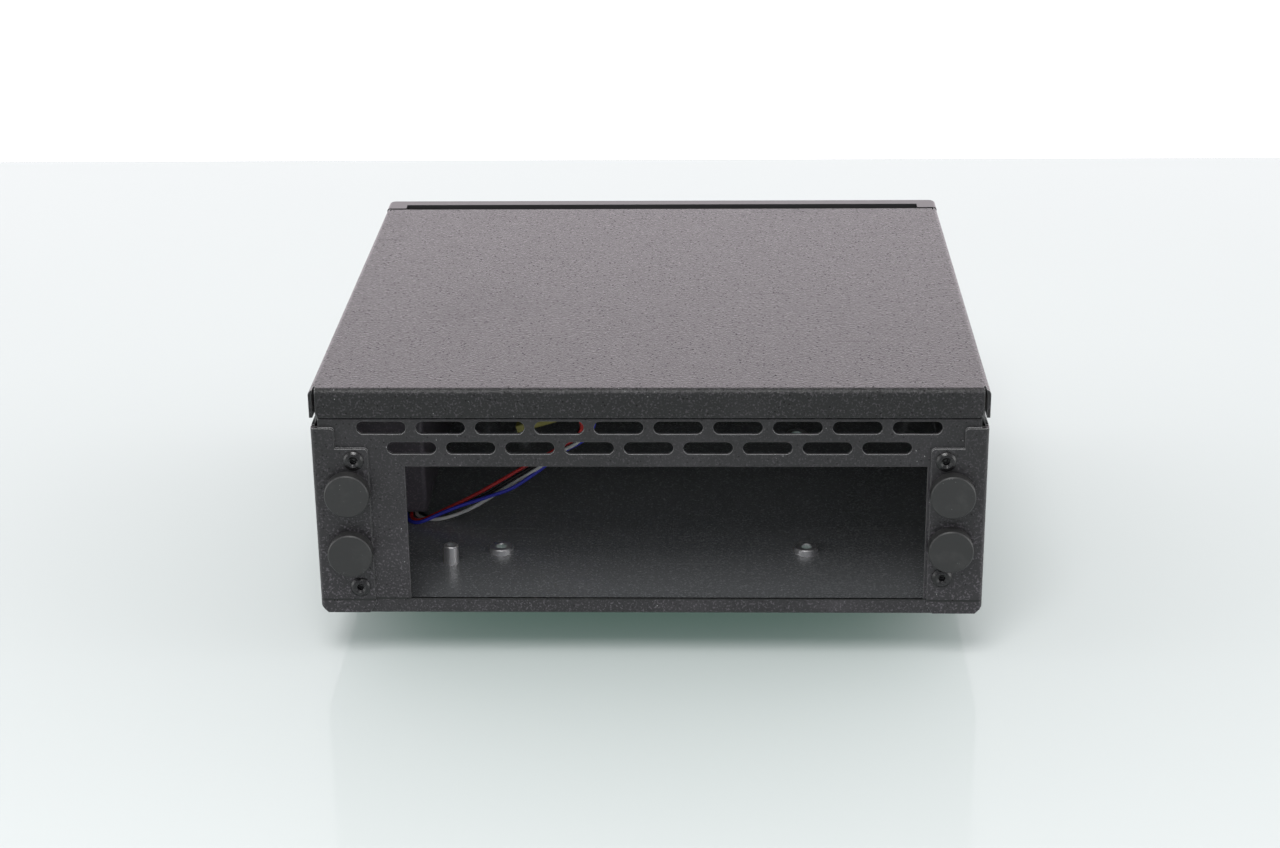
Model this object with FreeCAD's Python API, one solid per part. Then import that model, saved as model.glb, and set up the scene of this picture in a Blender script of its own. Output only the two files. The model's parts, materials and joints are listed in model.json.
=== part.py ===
import FreeCAD, Part
import math
import os

os.makedirs("parts", exist_ok=True)

# Small computer chassis of folded sheet steel for a 170 x 170 mm mainboard.
# Millimetres.  +Y runs from the rear panel to the front bezel, +X is to the right
# seen from the rear, +Z is up, and Z = 0 is the surface that the feet stand on.
# The origin is the middle of the footprint.  An inset is a distance from the outer
# face of a side wall or of the front wall, and a drop is a distance below the top.

# Folded sheet body
sheet = 1.0
fold_inside = 0.6
body_width = 205.0
body_height = 75.0
tray_depth = 189.2
corner_relief = 2.5

# Cover, and the step in the tray's walls under its flanges
cover_flange = 9.1
cover_gap = 0.3
end_flange_stand = 0.6
cover_fold_inside = 0.9
cover_slit = 0.7
flange_corner = 1.6
side_step_clearance = 0.3
side_step_rise = 3.1
end_step_clearance = 0.1
end_step_rise = 1.1

# Aperture for the mainboard's connectors: it leaves the standard 158.75 x 44.45 opening
aperture_left_inset = 28.125
aperture_right_inset = 18.125
aperture_height = 44.45
aperture_sill = 5.3

# Ventilation slots, as many as the panel's width takes
slot_pitch = 18.0
slot_length = 15.0
upper_slot_height = 4.2
upper_slot_drop = 12.65
upper_slot_inset = 10.0
lower_slot_height = 4.0
lower_slot_drop = 19.27
lower_slot_inset = 19.0

# Side tabs folded over the rear panel
tab_reach = 17.1
tab_neck_reach = 7.1
tab_step_rise = 6.7
tab_bottom_z = 0.9
tab_corner_cut = 2.2
tab_round = 1.1
tab_inner_cut_width = 1.9
tab_inner_cut_height = 2.8

# Rivets that hold the tabs and the drive bracket
rivet_radius = 1.6
rivet_hole_radius = 1.0
rivet_lip_radius = 1.8
rivet_head_radius = 3.1
rivet_head_height = 1.2
rivet_rim = 0.4
rivet_crater = 0.5
rivet_bulb_radius = 2.2
rivet_fit = 0.05
tab_rivet_inset = 12.7
tab_rivet_z = {"lower_left": 9.7, "upper_left": 52.0, "lower_right": 13.2, "upper_right": 51.8}

# Rubber plugs in the spare cable holes
plug_head_radius = 6.9
plug_head_thickness = 4.0
plug_edge = 0.35
plug_neck_radius = 4.8
plug_barb_radius = 5.7
plug_nose_radius = 3.9
plug_nose = 2.2
plug_hole_fit = 0.2
plug_inset = 10.5
plug_z = {"lower_left": 21.8, "upper_left": 41.6, "lower_right": 23.4, "upper_right": 41.4}

# Mainboard standoffs
board_hole_left_inset = 36.9
board_hole_right_inset = 10.6
board_hole_rear_right_y = 12.85
board_hole_rear_left_y = 35.7
board_hole_front_inset = 21.4
standoff_height = 6.35
standoff_radius = 2.4
standoff_shank_radius = 2.1
standoff_bore_radius = 1.25

# Clinch nuts of the 100 x 100 mm mounting pattern
mount_pitch = 100.0
mount_rear_y = 44.5
nut_radius = 3.95
nut_height = 2.0
nut_shank_radius = 2.7
nut_bore_radius = 1.65
press_fit_gap = 0.03
turned_edge = 0.3

# Feet, and the screws that hold them to the floor
foot_height = 16.0
foot_top_radius = 9.6
foot_bottom_radius = 8.4
foot_edge = 0.9
foot_recess_radius = 4.2
foot_web = 5.0
foot_inset = 11.0
foot_rear_y = 54.0
foot_front_inset = 41.2
foot_screw_radius = 1.95
foot_screw_head_radius = 3.5
foot_screw_head_height = 2.4
foot_screw_grip = 2.0
foot_screw_point = 0.5
screw_socket_radius = 1.2
screw_fit = 0.1

# Countersunk screws of the cover
cover_screw_radius = 1.45
cover_screw_head_radius = 2.5
cover_screw_socket_radius = 0.8
cover_screw_length = 4.0
cover_screw_drop = 4.8
cover_screw_end_inset = 30.0

# Moulded front bezel
bezel_depth = 10.4
bezel_wall = 2.2
bezel_corner = 6.0
bezel_edge = 1.2
bezel_notch_inset = 8.5
bezel_notch_depth = 4.4
bezel_boss_radius = 4.0
bezel_peg_radius = 2.5
bezel_peg_tip_radius = 1.6
bezel_peg_length = 3.6
bezel_boss_inset = 36.5
bezel_boss_low_z = 13.0
bezel_boss_drop = 21.0

# Power switch and its button
switch_inset = 14.5
switch_z = 44.0
switch_barrel_radius = 5.9
switch_collar_radius = 7.5
switch_collar = 1.5
switch_front = 3.0
switch_rear = 9.0
switch_bore_radius = 3.3
switch_bore_depth = 6.2
switch_nut_radius = 8.0
switch_nut_thickness = 2.0
terminal_length = 4.0
terminal_width = 2.0
terminal_thickness = 0.8
terminal_half_pitch = 2.2
plunger_radius = 3.0
plunger_stop_gap = 2.0
button_radius = 7.0
button_flange_radius = 8.4
button_flange = 1.5
button_proud = 0.6
button_dish_radius = 5.6
button_dish = 0.5
button_fit = 0.3

# Power lamp, its holder and the light pipe in the bezel
lamp_z = 26.0
lamp_radius = 1.5
lamp_rim_radius = 1.9
lamp_rim = 0.8
lamp_front = 3.4
lamp_dome = 1.1
lamp_tip_radius = 0.5
lamp_pin_length = 4.0
lamp_pin = 0.5
lamp_half_pitch = 1.27
holder_radius = 2.5
holder_collar_radius = 3.6
holder_collar = 1.2
holder_rear = 4.0
pipe_flange_radius = 2.6
pipe_flange = 1.0
lamp_gap = 0.3

# Drive bracket beside the left wall: a plate across the bay and a leg along it
bay_width = 25.0
bracket_y = 72.0
bracket_drop = 3.5
bracket_front_gap = 11.2
bracket_clear_z = 3.0
bracket_window_width = 8.9
lug_width = 12.0
lug_reach = 12.0
lug_rivet_reach = 7.2
lug_rear_run = 46.0
lug_front_run = 10.0
drive_hole_radius = 1.75
drive_hole_pitch_y = 76.6
drive_hole_pitch_z = 61.72
drive_hole_rear_run = 16.0
drive_hole_low_z = 5.6

# Front panel leads and their connectors
lead_radius = 0.6
lead_last_run = 6.0
lead_bay_run = 117.2
connector_length = 14.0
connector_width = 5.1
connector_height = 2.6
connector_pitch = 2.54
connector_edge = 0.3
socket_size = 0.7
socket_depth = 6.0
window_width = 1.2
window_length = 4.0
window_depth = 0.5
window_start = 2.5

# Places worked out from the sizes
half_width = body_width / 2
rear_reach = sheet + plug_head_thickness
front_reach = tray_depth + end_flange_stand + bezel_depth + button_proud
rear_y = (rear_reach - front_reach) / 2
front_y = rear_y + tray_depth
under_z = foot_height
top_z = under_z + body_height
side_step = sheet + cover_gap
end_step = sheet + cover_gap - end_flange_stand
wall_top = body_height - sheet - cover_gap
flange_bottom = body_height - cover_flange
side_step_high = flange_bottom - side_step_clearance
side_step_low = side_step_high - side_step_rise
end_step_high = flange_bottom - end_step_clearance
end_step_low = end_step_high - end_step_rise
tab_step_z = side_step_low - tab_step_rise
cover_rear_y = rear_y - end_flange_stand
cover_front_y = front_y + end_flange_stand
bezel_face_y = cover_front_y + bezel_depth
bezel_inner_y = bezel_face_y - bezel_wall
bracket_right_x = bay_width - half_width
bracket_length = tray_depth - bracket_y - bracket_front_gap

X = FreeCAD.Vector(1, 0, 0)
Y = FreeCAD.Vector(0, 1, 0)
Z = FreeCAD.Vector(0, 0, 1)


def at(x, from_rear, above_underside):
    return FreeCAD.Vector(x, rear_y + from_rear, under_z + above_underside)


def unit(vector):
    return vector / vector.Length


def rounded_path(points, radii):
    # Straight runs joined by tangent arcs; a radius of 0 leaves the corner sharp.
    edges = []
    start = points[0]
    for before, corner, after, radius in zip(points, points[1:], points[2:], radii):
        into = unit(corner - before)
        onward = unit(after - corner)
        turn = into.getAngle(onward)
        if radius == 0 or turn < 0.001:
            edges.append(Part.LineSegment(start, corner).toShape())
            start = corner
            continue
        reach = radius * math.tan(turn / 2)
        first = corner - into * reach
        last = corner + onward * reach
        middle = corner + unit(onward - into) * (radius / math.cos(turn / 2) - radius)
        edges.append(Part.LineSegment(start, first).toShape())
        edges.append(Part.Arc(first, middle, last).toShape())
        start = last
    edges.append(Part.LineSegment(start, points[-1]).toShape())
    return edges


def folded(points, run, inside=fold_inside):
    # Sheet folded along a path and drawn out by the vector run.
    # The sheet's thickness lies on the side run x direction of the path.
    along = unit(run)
    directions = [unit(after - before) for before, after in zip(points, points[1:])]
    sides = [along.cross(direction) for direction in directions]
    back = [points[0] + sides[0] * sheet]
    face_radii = []
    back_radii = []
    for corner, side, next_side, onward in zip(points[1:], sides, sides[1:], directions[1:]):
        back.append(corner + (side + next_side) * (sheet / (1 + side.dot(next_side))))
        turns_to_back = onward.dot(side) > 0
        face_radii.append(inside + sheet if turns_to_back else inside)
        back_radii.append(inside if turns_to_back else inside + sheet)
    back.append(points[-1] + sides[-1] * sheet)
    edges = rounded_path(points, face_radii)
    edges.append(Part.LineSegment(points[-1], back[-1]).toShape())
    edges += rounded_path(back[::-1], back_radii[::-1])
    edges.append(Part.LineSegment(back[0], points[0]).toShape())
    outline = Part.Wire(Part.__sortEdges__(edges))
    return Part.Face(outline).extrude(run)


def block(low, high):
    size = high - low
    return Part.makeBox(size.x, size.y, size.z, low)


def prism(points, run):
    return Part.Face(Part.makePolygon(points + [points[0]])).extrude(run)


def obround(x, z, length, height, near_y, far_y):
    radius = height / 2
    run = length / 2 - radius
    left_top = FreeCAD.Vector(x - run, near_y, z + radius)
    right_top = FreeCAD.Vector(x + run, near_y, z + radius)
    right_bottom = FreeCAD.Vector(x + run, near_y, z - radius)
    left_bottom = FreeCAD.Vector(x - run, near_y, z - radius)
    edges = [
        Part.LineSegment(left_top, right_top).toShape(),
        Part.Arc(right_top, FreeCAD.Vector(x + length / 2, near_y, z), right_bottom).toShape(),
        Part.LineSegment(right_bottom, left_bottom).toShape(),
        Part.Arc(left_bottom, FreeCAD.Vector(x - length / 2, near_y, z), left_top).toShape(),
    ]
    return Part.Face(Part.Wire(edges)).extrude(Y * (far_y - near_y))


def pin(centre, direction, radius, length):
    return Part.makeCylinder(radius, length, centre, direction)


def turned(profile, centre, direction):
    # Profile of (radius, height) pairs turned about an axis through centre.
    points = [FreeCAD.Vector(r, 0, h) for r, h in profile]
    face = Part.Face(Part.makePolygon(points + [points[0]]))
    solid = face.revolve(FreeCAD.Vector(0, 0, 0), Z, 360)
    solid.Placement = FreeCAD.Placement(centre, FreeCAD.Rotation(Z, direction))
    return solid


def without(shape, cutters):
    for cutter in cutters:
        shape = shape.cut(cutter)
    return shape


def rounded_edges(shape, radius, chosen):
    edges = [edge for edge in shape.Edges if chosen(edge)]
    return shape.makeFillet(radius, edges)


def one_solid(shape):
    shape = shape.removeSplitter()
    if len(shape.Solids) == 1:
        return shape.Solids[0]
    return shape


# Positions shared by a piece and the hole that takes it

def tab_rivet_places():
    places = {}
    for name, z in tab_rivet_z.items():
        side = -1 if name.endswith("left") else 1
        x = side * (half_width - tab_rivet_inset)
        places[name] = at(x, -sheet, z)
    return places


def plug_places():
    places = {}
    for name, z in plug_z.items():
        side = -1 if name.endswith("left") else 1
        x = side * (half_width - plug_inset)
        places[name] = at(x, -sheet, z)
    return places


def standoff_places():
    left = board_hole_left_inset - half_width
    right = half_width - board_hole_right_inset
    front = tray_depth - board_hole_front_inset
    return {
        "rear_left": at(left, board_hole_rear_left_y, 0),
        "rear_right": at(right, board_hole_rear_right_y, 0),
        "front_left": at(left, front, 0),
        "front_right": at(right, front, 0),
    }


def corner_places(half_pitch_x, low_y, high_y):
    places = {}
    for end_name, y in (("rear", low_y), ("front", high_y)):
        for side_name, x in (("left", -half_pitch_x), ("right", half_pitch_x)):
            places[end_name + "_" + side_name] = at(x, y, 0)
    return places


def cover_screw_places():
    places = {}
    front = tray_depth - cover_screw_end_inset
    for end_name, y in (("rear", cover_screw_end_inset), ("front", front)):
        for side_name, side in (("left", -1), ("right", 1)):
            place = at(side * half_width, y, body_height - cover_screw_drop)
            places[end_name + "_" + side_name] = (place, X * side)
    return places


def bezel_boss_places():
    places = []
    reach = half_width - bezel_boss_inset
    for z in (bezel_boss_low_z, body_height - bezel_boss_drop):
        for x in (-reach, reach):
            places.append(at(x, tray_depth, z))
    return places


def lug_middles():
    return (bracket_y + lug_rear_run, bracket_y + bracket_length - lug_front_run)


def bracket_rivet_places():
    return [at(bracket_right_x - lug_rivet_reach, y, 0) for y in lug_middles()]


mount_places = corner_places(mount_pitch / 2, mount_rear_y, mount_rear_y + mount_pitch)
foot_places = corner_places(half_width - foot_inset, foot_rear_y, tray_depth - foot_front_inset)
switch_place = at(switch_inset - half_width, tray_depth, switch_z)
lamp_place = at(switch_inset - half_width, tray_depth, lamp_z)


def tray_channel():
    # Floor and both side walls, with the step below the cover's flanges.
    end = tray_depth - corner_relief
    path = [
        at(side_step - half_width, end, wall_top),
        at(side_step - half_width, end, side_step_high),
        at(-half_width, end, side_step_low),
        at(-half_width, end, 0),
        at(half_width, end, 0),
        at(half_width, end, side_step_low),
        at(half_width - side_step, end, side_step_high),
        at(half_width - side_step, end, wall_top),
    ]
    return folded(path, Y * (corner_relief * 2 - tray_depth))


def end_wall(face, inwards):
    # Wall folded up from the floor at one end; inwards is +1 at the rear, -1 at the front.
    reach = half_width - sheet
    path = [
        at(-reach, face + inwards * end_step, wall_top),
        at(-reach, face + inwards * end_step, end_step_high),
        at(-reach, face, end_step_low),
        at(-reach, face, 0),
        at(-reach, face + inwards * corner_relief, 0),
    ]
    if inwards < 0:
        path.reverse()
    wall = folded(path, X * 2 * reach)
    upper_reach = half_width - side_step - sheet
    trims = []
    for side in (-1, 1):
        xs = sorted((side * upper_reach, side * (half_width + sheet)))
        low = at(xs[0], face - corner_relief, side_step_low)
        high = at(xs[1], face + corner_relief, body_height)
        trims.append(block(low, high))
    return without(wall, trims)


def side_end(side, face, inwards):
    # End of a side wall, folded round onto the outside of an end wall.
    outer_face = face - inwards * sheet
    path = [
        at(side * half_width, face + inwards * corner_relief, tab_bottom_z),
        at(side * half_width, outer_face, tab_bottom_z),
        at(side * (half_width - tab_reach), outer_face, tab_bottom_z),
    ]
    if side * inwards > 0:
        path.reverse()
    tab = folded(path, Z * (side_step_low - tab_bottom_z))
    neck = side * (half_width - tab_neck_reach)
    inner = side * (half_width - tab_reach)
    step = block(
        at(min(0, neck), face - 2 * sheet, tab_step_z),
        at(max(0, neck), face + 2 * sheet, side_step_low + sheet),
    )
    slant = prism(
        [
            at(inner, face - 2 * sheet, tab_bottom_z),
            at(inner + side * tab_inner_cut_width, face - 2 * sheet, tab_bottom_z),
            at(inner, face - 2 * sheet, tab_bottom_z + tab_inner_cut_height),
        ],
        Y * (4 * sheet),
    )
    tab = without(tab, [step, slant])

    def upper_corner(edge):
        # The tab's two outward corners along its stepped upper edge.
        middle = edge.CenterOfMass
        across = abs(edge.Vertexes[0].Y - edge.Vertexes[-1].Y) > sheet / 2
        at_neck = abs(middle.x - neck) < 0.01 and abs(middle.z - under_z - side_step_low) < 0.01
        at_inner = abs(middle.x - inner) < 0.01 and abs(middle.z - under_z - tab_step_z) < 0.01
        return across and (at_neck or at_inner)

    return rounded_edges(tab, tab_round, upper_corner)


def bottom_corner_cut(side, low_y):
    corner = side * half_width
    depth = corner_relief + sheet
    return prism(
        [
            at(corner + side * sheet, low_y, -sheet),
            at(corner - side * (tab_corner_cut + sheet + tab_bottom_z), low_y, -sheet),
            at(corner + side * sheet, low_y, tab_corner_cut + sheet + tab_bottom_z),
        ],
        Y * depth,
    )


def slot_row(face, drop, height, inset):
    # A centred row of slots through the panel whose middle plane is at face.
    count = int((body_width - 2 * inset) // slot_pitch)
    start = -(count - 1) / 2 * slot_pitch
    z = top_z - drop
    return [
        obround(start + i * slot_pitch, z, slot_length, height, face - sheet, face + sheet)
        for i in range(count)
    ]


def make_base_tray():
    tray = tray_channel()
    tray = tray.fuse([end_wall(0, 1), end_wall(tray_depth, -1)])
    tray = tray.fuse([side_end(-1, 0, 1), side_end(1, 0, 1)])
    # At the front the side walls stop flush with the end wall, without tabs.
    for side in (-1, 1):
        xs = sorted((side * half_width, side * (half_width - sheet)))
        low = at(xs[0], tray_depth - corner_relief, tab_bottom_z)
        high = at(xs[1], tray_depth, side_step_low)
        tray = tray.fuse(block(low, high))
    cutters = [
        block(
            at(aperture_left_inset - half_width, -sheet / 2, aperture_sill),
            at(half_width - aperture_right_inset, sheet * 1.5, aperture_sill + aperture_height),
        )
    ]
    for side in (-1, 1):
        cutters.append(bottom_corner_cut(side, -sheet))
        cutters.append(bottom_corner_cut(side, tray_depth - corner_relief))
    upper_row = (upper_slot_drop, upper_slot_height, upper_slot_inset)
    lower_row = (lower_slot_drop, lower_slot_height, lower_slot_inset)
    cutters += slot_row(rear_y + sheet / 2, *upper_row)
    cutters += slot_row(rear_y + sheet / 2, *lower_row)
    cutters += slot_row(front_y - sheet / 2, *upper_row)
    through = 4 * sheet
    for place in tab_rivet_places().values():
        cutters.append(pin(place - Y * sheet, Y, rivet_radius + rivet_fit, through))
    for place in plug_places().values():
        cutters.append(pin(place - Y * sheet, Y, plug_neck_radius + plug_hole_fit, through))
    for place in standoff_places().values():
        cutters.append(pin(place - Z * sheet, Z, standoff_shank_radius + press_fit_gap, through))
    for place in mount_places.values():
        cutters.append(pin(place - Z * sheet, Z, nut_shank_radius + press_fit_gap, through))
    for place in foot_places.values():
        cutters.append(pin(place - Z * sheet, Z, foot_screw_radius + screw_fit, through))
    for place in bracket_rivet_places():
        cutters.append(pin(place - Z * sheet, Z, rivet_radius + rivet_fit, through))
    for place, outwards in cover_screw_places().values():
        cutters.append(pin(place, outwards * -1, cover_screw_radius + screw_fit, through))
    for place in bezel_boss_places():
        cutters.append(pin(place + Y * sheet, Y * -1, bezel_peg_radius + screw_fit, through))
    cutters.append(pin(switch_place + Y * sheet, Y * -1, switch_barrel_radius + screw_fit, through))
    cutters.append(pin(lamp_place + Y * sheet, Y * -1, holder_radius + rivet_fit, through))
    return one_solid(without(tray, cutters))


def cover_end(face_y, inwards):
    # End flange of the cover, inside the slits beside the side flanges.
    relief = cover_fold_inside + 2 * sheet
    reach = half_width - sheet - cover_gap - cover_slit
    low_z = top_z - cover_flange
    path = [
        FreeCAD.Vector(-reach, face_y + inwards * relief, top_z),
        FreeCAD.Vector(-reach, face_y, top_z),
        FreeCAD.Vector(-reach, face_y, low_z),
    ]
    if inwards < 0:
        path.reverse()
    flange = folded(path, X * 2 * reach, cover_fold_inside)

    def lower_corner(edge):
        middle = edge.CenterOfMass
        at_end = abs(abs(middle.x) - reach) < 0.01
        return at_end and abs(middle.z - low_z) < 0.01

    return rounded_edges(flange, flange_corner, lower_corner)


def make_top_cover():
    low_z = top_z - cover_flange
    path = [
        FreeCAD.Vector(half_width, cover_front_y, low_z),
        FreeCAD.Vector(half_width, cover_front_y, top_z),
        FreeCAD.Vector(-half_width, cover_front_y, top_z),
        FreeCAD.Vector(-half_width, cover_front_y, low_z),
    ]
    cover = folded(path, Y * (cover_rear_y - cover_front_y), cover_fold_inside)
    relief = cover_fold_inside + 2 * sheet
    reach = half_width - sheet - cover_gap
    for face_y, inwards in ((cover_rear_y, 1), (cover_front_y, -1)):
        ys = sorted((face_y - inwards * sheet, face_y + inwards * relief))
        low = FreeCAD.Vector(-reach, ys[0], top_z - 2 * sheet)
        high = FreeCAD.Vector(reach, ys[1], top_z + sheet)
        cover = cover.cut(block(low, high))
        cover = cover.fuse(cover_end(face_y, inwards))
    cutters = []
    for place, outwards in cover_screw_places().values():
        wide = cover_screw_head_radius + screw_fit
        narrow = cover_screw_radius + screw_fit
        cutters.append(Part.makeCone(wide, narrow, sheet, place, outwards * -1))
    return one_solid(without(cover, cutters))


def rounded_plan(inset, low_z, high_z):
    # Plan of the bezel: square corners at the back, rounded ones at the front.
    left = inset - half_width
    right = half_width - inset
    face = bezel_face_y - inset
    points = [
        FreeCAD.Vector(left, cover_front_y, low_z),
        FreeCAD.Vector(left, face, low_z),
        FreeCAD.Vector(right, face, low_z),
        FreeCAD.Vector(right, cover_front_y, low_z),
    ]
    edges = rounded_path(points, [bezel_corner - inset, bezel_corner - inset])
    edges.append(Part.LineSegment(points[-1], points[0]).toShape())
    return Part.Face(Part.Wire(Part.__sortEdges__(edges))).extrude(Z * (high_z - low_z))


def make_front_bezel():
    outer = rounded_plan(0, under_z, top_z)

    def front_rim(edge):
        box = edge.BoundBox
        flat = box.ZLength < 0.01
        at_rim = abs(box.ZMin - under_z) < 0.01 or abs(box.ZMin - top_z) < 0.01
        return flat and at_rim and box.YMax > cover_front_y + 0.01 and box.XLength > 0.01

    outer = rounded_edges(outer, bezel_edge, front_rim)
    cavity = rounded_plan(bezel_wall, under_z + bezel_wall, top_z - bezel_wall)
    bezel = outer.cut(cavity)
    for place in bezel_boss_places():
        depth = bezel_inner_y - front_y
        boss = pin(place, Y, bezel_boss_radius, depth)
        tip = bezel_peg_length - sheet
        peg = turned(
            [(0, 0), (bezel_peg_radius, 0), (bezel_peg_radius, tip),
             (bezel_peg_tip_radius, bezel_peg_length), (0, bezel_peg_length)],
            place,
            Y * -1,
        )
        bezel = bezel.fuse([boss, peg])
    notch_reach = half_width - bezel_notch_inset
    notch = block(
        FreeCAD.Vector(-notch_reach, cover_front_y - sheet, top_z - bezel_wall - sheet),
        FreeCAD.Vector(notch_reach, cover_front_y + bezel_notch_depth, top_z + sheet),
    )
    button_hole = pin(switch_place, Y, button_radius + button_fit, bezel_depth * 2)
    pipe_hole = pin(lamp_place, Y, lamp_radius + screw_fit, bezel_depth * 2)
    return one_solid(without(bezel, [notch, button_hole, pipe_hole]))


def make_rivet(place, outwards):
    # Blind rivet through two sheets: a domed head with a crater round the spent mandrel's
    # hole, and the bulb behind the sheets.
    grip = 2 * sheet
    profile = [
        (0, -grip - rivet_radius),
        (rivet_radius, -grip - rivet_radius),
        (rivet_bulb_radius, -grip - rivet_radius / 2),
        (rivet_bulb_radius, -grip),
        (rivet_radius, -grip),
        (rivet_radius, 0),
        (rivet_head_radius, 0),
        (rivet_head_radius, rivet_rim),
        ((rivet_head_radius + rivet_lip_radius) / 2, (rivet_rim + 2 * rivet_head_height) / 3),
        (rivet_lip_radius, rivet_head_height),
        (rivet_hole_radius, rivet_head_height - rivet_crater),
        (rivet_hole_radius, -sheet),
        (0, -sheet),
    ]
    return turned(profile, place, outwards)


def make_hole_plug(place):
    grip = 2 * sheet
    nose = plug_barb_radius - plug_neck_radius
    profile = [
        (0, -grip - plug_nose),
        (plug_nose_radius, -grip - plug_nose),
        (plug_barb_radius, -grip - nose),
        (plug_barb_radius, -grip),
        (plug_neck_radius, -grip),
        (plug_neck_radius, 0),
        (plug_head_radius, 0),
        (plug_head_radius, plug_head_thickness - plug_edge),
        (plug_head_radius - plug_edge, plug_head_thickness),
        (0, plug_head_thickness),
    ]
    return turned(profile, place, Y * -1)


def make_standoff(place):
    top = sheet + standoff_height
    profile = [
        (standoff_bore_radius, 0),
        (standoff_shank_radius, 0),
        (standoff_shank_radius, sheet),
        (standoff_radius, sheet),
        (standoff_radius, top - turned_edge),
        (standoff_radius - turned_edge, top),
        (standoff_bore_radius, top),
    ]
    return turned(profile, place, Z)


def make_mount_nut(place):
    top = sheet + nut_height
    profile = [
        (nut_bore_radius, 0),
        (nut_shank_radius, 0),
        (nut_shank_radius, sheet),
        (nut_radius, sheet),
        (nut_radius, top - turned_edge),
        (nut_radius - turned_edge, top),
        (nut_bore_radius + turned_edge, top),
        (nut_bore_radius, top - turned_edge),
    ]
    return turned(profile, place, Z)


def make_foot(place):
    hole = foot_screw_radius + screw_fit
    profile = [
        (hole, 0),
        (foot_top_radius, 0),
        (foot_bottom_radius, foot_height - foot_edge),
        (foot_bottom_radius - foot_edge, foot_height),
        (foot_recess_radius, foot_height),
        (foot_recess_radius, foot_web),
        (hole, foot_web),
    ]
    return turned(profile, place, Z * -1)


def make_foot_screw(place):
    seat = foot_web
    top = foot_web + foot_screw_head_height
    profile = [
        (0, -foot_screw_grip),
        (foot_screw_radius - foot_screw_point, -foot_screw_grip),
        (foot_screw_radius, foot_screw_point - foot_screw_grip),
        (foot_screw_radius, seat),
        (foot_screw_head_radius, seat),
        (foot_screw_head_radius, top - foot_screw_point),
        (foot_screw_head_radius - foot_screw_point, top),
        (screw_socket_radius, top),
        (screw_socket_radius, (seat + top) / 2),
        (0, (seat + top) / 2),
    ]
    return turned(profile, place, Z * -1)


def make_cover_screw(place, outwards):
    profile = [
        (0, -cover_screw_length),
        (cover_screw_radius, -cover_screw_length),
        (cover_screw_radius, -sheet),
        (cover_screw_head_radius, 0),
        (cover_screw_socket_radius, 0),
        (cover_screw_socket_radius, -sheet),
        (0, -sheet),
    ]
    return turned(profile, place, outwards)


def make_drive_bracket():
    # Plate across the bay and a leg that carries the drive, with two lugs on the floor.
    left_x = side_step + sheet + cover_gap - half_width
    path = [
        at(left_x, bracket_y, bracket_clear_z),
        at(bracket_right_x, bracket_y, bracket_clear_z),
        at(bracket_right_x, bracket_y + bracket_length, bracket_clear_z),
    ]
    bracket = folded(path, Z * (body_height - bracket_drop - bracket_clear_z))
    skirt = block(
        at(left_x, bracket_y, sheet),
        at(bracket_right_x - bracket_window_width, bracket_y + sheet, bracket_clear_z),
    )
    bracket = bracket.fuse(skirt)
    for y in lug_middles():
        start = y - lug_width / 2
        lug_path = [
            at(bracket_right_x - lug_reach, start, sheet),
            at(bracket_right_x, start, sheet),
            at(bracket_right_x, start, bracket_clear_z + sheet),
        ]
        bracket = bracket.fuse(folded([p + Y * lug_width for p in lug_path], Y * -lug_width))
    cutters = []
    for j in range(2):
        for k in range(2):
            hole = at(
                bracket_right_x + sheet,
                bracket_y + drive_hole_rear_run + j * drive_hole_pitch_y,
                drive_hole_low_z + k * drive_hole_pitch_z,
            )
            cutters.append(pin(hole, X * -1, drive_hole_radius, 3 * sheet))
    for place in bracket_rivet_places():
        cutters.append(pin(place, Z, rivet_radius + rivet_fit, 3 * sheet))
    return one_solid(without(bracket, cutters))


def make_power_switch():
    profile = [
        (0, -switch_rear),
        (switch_barrel_radius - turned_edge, -switch_rear),
        (switch_barrel_radius, turned_edge - switch_rear),
        (switch_barrel_radius, 0),
        (switch_collar_radius, 0),
        (switch_collar_radius, switch_collar - turned_edge),
        (switch_collar_radius - turned_edge, switch_collar),
        (switch_barrel_radius, switch_collar),
        (switch_barrel_radius, switch_front),
        (switch_bore_radius, switch_front),
        (switch_bore_radius, switch_front - switch_bore_depth),
        (0, switch_front - switch_bore_depth),
    ]
    body = turned(profile, switch_place, Y)
    half_blade = FreeCAD.Vector(terminal_thickness / 2, 0, terminal_width / 2)
    for side in (-1, 1):
        root = switch_place + X * side * terminal_half_pitch - Y * switch_rear
        tip = root - Y * terminal_length
        body = body.fuse(block(tip - half_blade, root + half_blade))
    return one_solid(body)


def make_switch_nut():
    place = switch_place - Y * sheet
    points = []
    for i in range(6):
        angle = math.radians(60 * i)
        reach = FreeCAD.Vector(math.cos(angle), 0, math.sin(angle)) * switch_nut_radius
        points.append(place + reach)
    nut = prism(points, Y * -switch_nut_thickness)
    return nut.cut(pin(place, Y * -1, switch_barrel_radius + press_fit_gap, switch_nut_thickness))


def button_back_y():
    return bezel_inner_y - button_fit - button_flange


def make_power_button():
    base = FreeCAD.Vector(switch_place.x, button_back_y(), switch_place.z)
    face = bezel_face_y + button_proud - base.y
    profile = [
        (0, 0),
        (button_flange_radius, 0),
        (button_flange_radius, button_flange),
        (button_radius, button_flange),
        (button_radius, face - button_dish),
        (button_radius - button_dish, face),
        (button_dish_radius, face),
        (0, face - button_dish),
    ]
    return turned(profile, base, Y)


def make_switch_plunger():
    inner_end = front_y + switch_front - switch_bore_depth + plunger_stop_gap
    base = FreeCAD.Vector(switch_place.x, inner_end, switch_place.z)
    length = button_back_y() - inner_end
    profile = [(0, 0), (plunger_radius, 0), (plunger_radius, length), (0, length)]
    return turned(profile, base, Y)


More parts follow.
